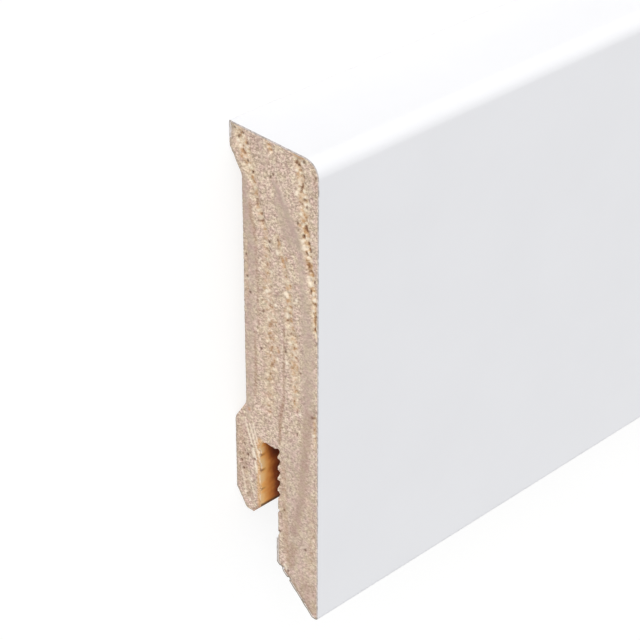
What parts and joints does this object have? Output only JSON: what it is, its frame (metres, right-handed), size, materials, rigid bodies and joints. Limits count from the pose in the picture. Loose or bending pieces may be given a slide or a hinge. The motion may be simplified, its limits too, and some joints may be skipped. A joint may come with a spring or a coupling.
{
  "type": "skirting board length",
  "caption": "Straight length of pine skirting board with a white foil-wrapped face, rounded top edge, chamfered toe and a clip groove and recess along its back.",
  "frame": {"origin": "middle of the bottom of the bounding box, in the wall plane, with the board lying on its back", "axes": "+X along the length, +Y from the bottom edge to the top edge, +Z out of the white front"},
  "size_m": [2.4, 0.07, 0.016],
  "materials": {
    "pine": "matte",
    "white_foil": "satin"
  },
  "bodies": {
    "root": {"pine_core": "pine", "foil_wrap": "white_foil"}
  },
  "joints": []
}
